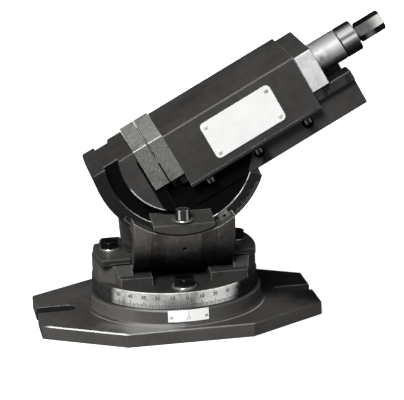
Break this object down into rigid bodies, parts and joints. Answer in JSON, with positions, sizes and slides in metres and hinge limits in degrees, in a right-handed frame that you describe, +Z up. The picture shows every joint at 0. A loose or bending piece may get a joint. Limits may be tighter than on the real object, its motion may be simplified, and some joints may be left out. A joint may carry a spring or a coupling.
{
  "type": "three-axis machine vise",
  "caption": "Tilting machine vise on a swivelling base: a round segment tilts in a leaning rocker, and a screw drives the sliding jaw along its bed.",
  "frame": {"origin": "centre of the base's underside, on the swivel axis", "axes": "+X along the base towards the raised spindle end, +Y to the back, +Z up"},
  "size_m": [0.3625, 0.1988, 0.294],
  "materials": {
    "dark_casting": "dark warm grey enamel on cast iron, with machined faces left bare",
    "turntable_casting": "dark casting with a bright satin graduated band",
    "dark_steel": "dark satin clamp steel",
    "jaw_steel": "ground",
    "ground_steel": "ground",
    "bright_steel": "bright",
    "polished_steel": "polished",
    "black_steel": "black oxide",
    "bronze": "machined",
    "pale_plate": "pale satin plate"
  },
  "bodies": {
    "base": {"base_plate": "dark_casting", "swivel_pin": "ground_steel", "swivel_index_plate": "pale_plate"},
    "turntable": {"turntable": "turntable_casting", "rocker_clamp_left": "dark_steel", "rocker_clamp_right": "dark_steel", "swivel_washer_front": "bright_steel", "swivel_washer_back": "bright_steel", "swivel_t_nut_front": "ground_steel", "swivel_t_nut_back": "ground_steel", "rocker_clamp_washer_left": "bright_steel", "rocker_clamp_washer_right": "bright_steel"},
    "swivel_bolt_front": {"swivel_bolt_front": "black_steel"},
    "swivel_bolt_back": {"swivel_bolt_back": "black_steel"},
    "rocker_clamp_bolt_left": {"rocker_clamp_bolt_left": "black_steel"},
    "rocker_clamp_bolt_right": {"rocker_clamp_bolt_right": "black_steel"},
    "rocker": {"rocker": "dark_casting", "tilt_clamp_front": "dark_steel", "tilt_clamp_back": "dark_steel", "tilt_clamp_washer_front": "bright_steel", "tilt_clamp_washer_back": "bright_steel", "tilt_index": "ground_steel"},
    "tilt_clamp_screw_front": {"tilt_clamp_screw_front": "bright_steel"},
    "tilt_clamp_screw_back": {"tilt_clamp_screw_back": "bright_steel"},
    "vise_body": {"vise_body": "dark_casting", "fixed_jaw_plate": "jaw_steel", "fixed_jaw_plate_screw_front": "black_steel", "fixed_jaw_plate_screw_back": "black_steel", "spindle_nut": "bronze", "nut_screw_front": "black_steel", "nut_screw_back": "black_steel"},
    "moving_jaw": {"moving_jaw": "dark_casting", "moving_jaw_plate": "jaw_steel", "moving_jaw_plate_screw_front": "black_steel", "moving_jaw_plate_screw_back": "black_steel", "keeper_strip_front": "dark_steel", "keeper_strip_back": "dark_steel", "keeper_screw_front_1": "black_steel", "keeper_screw_front_2": "black_steel", "keeper_screw_front_3": "black_steel", "keeper_screw_back_1": "black_steel", "keeper_screw_back_2": "black_steel", "keeper_screw_back_3": "black_steel", "bearing_block": "ground_steel", "bearing_sleeve": "ground_steel", "name_plate": "pale_plate"},
    "spindle": {"spindle": "polished_steel", "spindle_lock_collar": "ground_steel"}
  },
  "joints": [
    {"name": "swivel", "type": "hinge", "parent": "base", "child": "turntable", "pos_m": [0, 0, 0.029], "axis": [0, 0, 1], "continuous": true},
    {"name": "rock", "type": "hinge", "parent": "turntable", "child": "rocker", "pos_m": [0.003, 0, 0.112], "axis": [1, 0, 0], "range_deg": [-45, 45]},
    {"name": "tilt", "type": "hinge", "parent": "rocker", "child": "vise_body", "pos_m": [0.003, 0, 0.1764], "axis": [0, 1, 0], "range_deg": [-32, 27.75]},
    {"name": "jaw_slide", "type": "slide", "parent": "vise_body", "child": "moving_jaw", "axis": [0.885, 0, 0.4656], "range_m": [0, 0.09]},
    {"name": "spindle_turn", "type": "hinge", "parent": "moving_jaw", "child": "spindle", "pos_m": [0.00454, 0, 0.17348], "axis": [0.885, 0, 0.4656], "range_deg": [0, 6480]},
    {"name": "swivel_bolt_front_turn", "type": "hinge", "parent": "turntable", "child": "swivel_bolt_front", "pos_m": [0, -0.066, 0.07], "axis": [0, 0, 1], "range_deg": [0, 180]},
    {"name": "swivel_bolt_back_turn", "type": "hinge", "parent": "turntable", "child": "swivel_bolt_back", "pos_m": [0, 0.066, 0.07], "axis": [0, 0, 1], "range_deg": [0, 180]},
    {"name": "rocker_clamp_bolt_left_turn", "type": "hinge", "parent": "turntable", "child": "rocker_clamp_bolt_left", "pos_m": [-0.064, 0, 0.07], "axis": [0, 0, 1], "range_deg": [0, 180]},
    {"name": "rocker_clamp_bolt_right_turn", "type": "hinge", "parent": "turntable", "child": "rocker_clamp_bolt_right", "pos_m": [0.064, 0, 0.07], "axis": [0, 0, 1], "range_deg": [0, 180]},
    {"name": "tilt_clamp_screw_front_turn", "type": "hinge", "parent": "rocker", "child": "tilt_clamp_screw_front", "pos_m": [0.003, -0.0545, 0.07], "axis": [0, 0, 1], "range_deg": [0, 180]},
    {"name": "tilt_clamp_screw_back_turn", "type": "hinge", "parent": "rocker", "child": "tilt_clamp_screw_back", "pos_m": [0.003, 0.0545, 0.07], "axis": [0, 0, 1], "range_deg": [0, 180]}
  ],
  "couplings": [
    {"joint": "spindle_turn", "follows": "jaw_slide", "rad_per_m": 1256.6}
  ]
}
